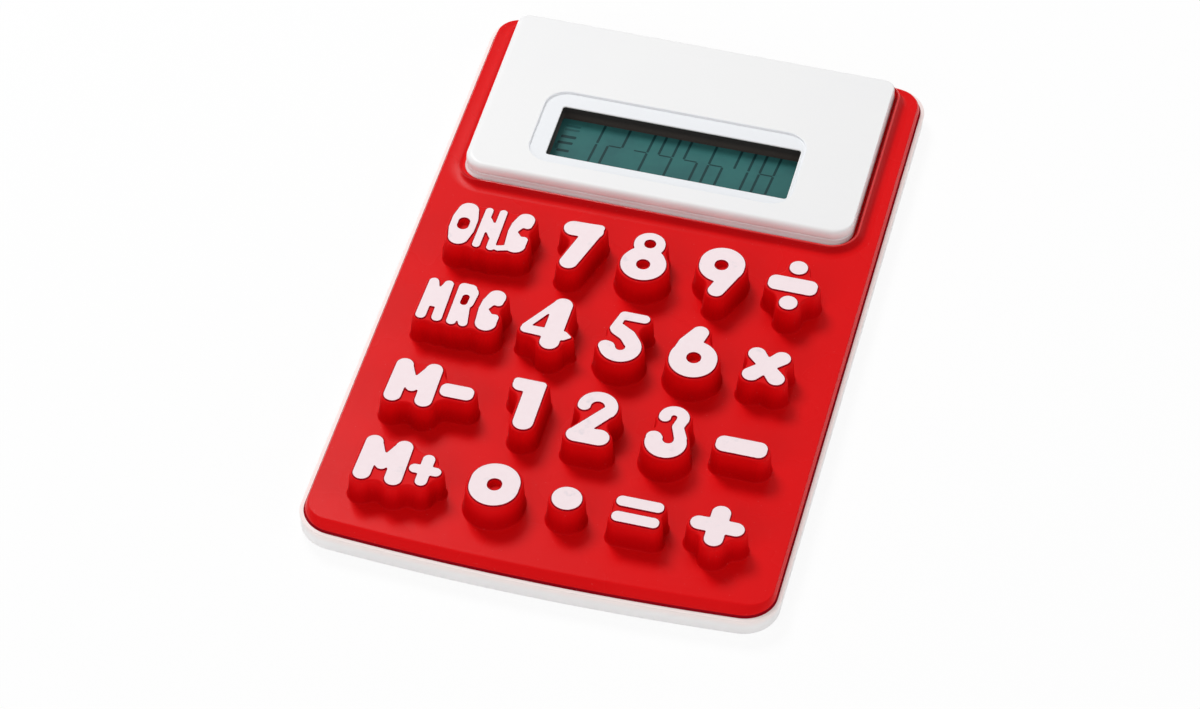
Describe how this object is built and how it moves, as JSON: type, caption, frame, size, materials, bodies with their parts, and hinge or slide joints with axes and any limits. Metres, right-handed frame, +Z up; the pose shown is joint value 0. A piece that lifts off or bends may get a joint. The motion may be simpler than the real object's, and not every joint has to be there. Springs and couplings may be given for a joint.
{
  "type": "electronic calculator",
  "caption": "Soft pocket calculator with digit-shaped silicone keys on a thin mat, a white base and a raised rigid display housing.",
  "frame": {"origin": "middle of the base's resting face", "axes": "+X along the key rows to the right, +Y from the keys towards the display, +Z up out of the keypad"},
  "size_m": [0.078, 0.129, 0.0102],
  "materials": {
    "white_silicone": "matt moulded silicone",
    "red_silicone": "matt moulded silicone",
    "white_plastic": "satin moulded plastic",
    "steel": "plain plated steel",
    "film": "printed polyester film",
    "board": "green solder mask",
    "black_epoxy": "cast resin",
    "zebra_rubber": "layered conductive rubber",
    "black_foam": "closed cell foam",
    "reflector": "silvered film",
    "lcd_glass": "clear glass",
    "polariser": "grey green film",
    "cell_steel": "plated steel can",
    "carbon_rubber": "carbon filled rubber"
  },
  "bodies": {
    "case": {"base_tray": "white_silicone", "keypad_mat": "red_silicone", "display_bezel": "white_plastic", "rear_cover": "white_plastic", "battery_door": "white_plastic", "screws": "steel", "contact_film": "film", "circuit_board": "board", "chip_cover": "black_epoxy", "zebra_strip": "zebra_rubber", "lcd_pad": "black_foam", "lcd_reflector": "reflector", "lcd_rear_glass": "lcd_glass", "lcd_front_glass": "lcd_glass", "lcd_polariser": "polariser", "lcd_gasket": "black_foam", "button_cell": "cell_steel", "positive_contact": "steel", "negative_contact": "steel"},
    "key_on": {"key_on": "red_silicone", "pill_on": "carbon_rubber"},
    "key_seven": {"key_seven": "red_silicone", "pill_seven": "carbon_rubber"},
    "key_eight": {"key_eight": "red_silicone", "pill_eight": "carbon_rubber"},
    "key_nine": {"key_nine": "red_silicone", "pill_nine": "carbon_rubber"},
    "key_divide": {"key_divide": "red_silicone", "pill_divide": "carbon_rubber"},
    "key_recall": {"key_recall": "red_silicone", "pill_recall": "carbon_rubber"},
    "key_four": {"key_four": "red_silicone", "pill_four": "carbon_rubber"},
    "key_five": {"key_five": "red_silicone", "pill_five": "carbon_rubber"},
    "key_six": {"key_six": "red_silicone", "pill_six": "carbon_rubber"},
    "key_times": {"key_times": "red_silicone", "pill_times": "carbon_rubber"},
    "key_memory_minus": {"key_memory_minus": "red_silicone", "pill_memory_minus": "carbon_rubber"},
    "key_one": {"key_one": "red_silicone", "pill_one": "carbon_rubber"},
    "key_two": {"key_two": "red_silicone", "pill_two": "carbon_rubber"},
    "key_three": {"key_three": "red_silicone", "pill_three": "carbon_rubber"},
    "key_minus": {"key_minus": "red_silicone", "pill_minus": "carbon_rubber"},
    "key_memory_plus": {"key_memory_plus": "red_silicone", "pill_memory_plus": "carbon_rubber"},
    "key_zero": {"key_zero": "red_silicone", "pill_zero": "carbon_rubber"},
    "key_point": {"key_point": "red_silicone", "pill_point": "carbon_rubber"},
    "key_equals": {"key_equals": "red_silicone", "pill_equals": "carbon_rubber"},
    "key_plus": {"key_plus": "red_silicone", "pill_plus": "carbon_rubber"}
  },
  "joints": [
    {"name": "press_on", "type": "slide", "parent": "case", "child": "key_on", "axis": [0, 0, -1], "range_m": [0, 0.0009], "stiffness_N_per_m": 1200},
    {"name": "press_seven", "type": "slide", "parent": "case", "child": "key_seven", "axis": [0, 0, -1], "range_m": [0, 0.0009], "stiffness_N_per_m": 1200},
    {"name": "press_eight", "type": "slide", "parent": "case", "child": "key_eight", "axis": [0, 0, -1], "range_m": [0, 0.0009], "stiffness_N_per_m": 1200},
    {"name": "press_nine", "type": "slide", "parent": "case", "child": "key_nine", "axis": [0, 0, -1], "range_m": [0, 0.0009], "stiffness_N_per_m": 1200},
    {"name": "press_divide", "type": "slide", "parent": "case", "child": "key_divide", "axis": [0, 0, -1], "range_m": [0, 0.0009], "stiffness_N_per_m": 1200},
    {"name": "press_recall", "type": "slide", "parent": "case", "child": "key_recall", "axis": [0, 0, -1], "range_m": [0, 0.0009], "stiffness_N_per_m": 1200},
    {"name": "press_four", "type": "slide", "parent": "case", "child": "key_four", "axis": [0, 0, -1], "range_m": [0, 0.0009], "stiffness_N_per_m": 1200},
    {"name": "press_five", "type": "slide", "parent": "case", "child": "key_five", "axis": [0, 0, -1], "range_m": [0, 0.0009], "stiffness_N_per_m": 1200},
    {"name": "press_six", "type": "slide", "parent": "case", "child": "key_six", "axis": [0, 0, -1], "range_m": [0, 0.0009], "stiffness_N_per_m": 1200},
    {"name": "press_times", "type": "slide", "parent": "case", "child": "key_times", "axis": [0, 0, -1], "range_m": [0, 0.0009], "stiffness_N_per_m": 1200},
    {"name": "press_memory_minus", "type": "slide", "parent": "case", "child": "key_memory_minus", "axis": [0, 0, -1], "range_m": [0, 0.0009], "stiffness_N_per_m": 1200},
    {"name": "press_one", "type": "slide", "parent": "case", "child": "key_one", "axis": [0, 0, -1], "range_m": [0, 0.0009], "stiffness_N_per_m": 1200},
    {"name": "press_two", "type": "slide", "parent": "case", "child": "key_two", "axis": [0, 0, -1], "range_m": [0, 0.0009], "stiffness_N_per_m": 1200},
    {"name": "press_three", "type": "slide", "parent": "case", "child": "key_three", "axis": [0, 0, -1], "range_m": [0, 0.0009], "stiffness_N_per_m": 1200},
    {"name": "press_minus", "type": "slide", "parent": "case", "child": "key_minus", "axis": [0, 0, -1], "range_m": [0, 0.0009], "stiffness_N_per_m": 1200},
    {"name": "press_memory_plus", "type": "slide", "parent": "case", "child": "key_memory_plus", "axis": [0, 0, -1], "range_m": [0, 0.0009], "stiffness_N_per_m": 1200},
    {"name": "press_zero", "type": "slide", "parent": "case", "child": "key_zero", "axis": [0, 0, -1], "range_m": [0, 0.0009], "stiffness_N_per_m": 1200},
    {"name": "press_point", "type": "slide", "parent": "case", "child": "key_point", "axis": [0, 0, -1], "range_m": [0, 0.0009], "stiffness_N_per_m": 1200},
    {"name": "press_equals", "type": "slide", "parent": "case", "child": "key_equals", "axis": [0, 0, -1], "range_m": [0, 0.0009], "stiffness_N_per_m": 1200},
    {"name": "press_plus", "type": "slide", "parent": "case", "child": "key_plus", "axis": [0, 0, -1], "range_m": [0, 0.0009], "stiffness_N_per_m": 1200}
  ]
}
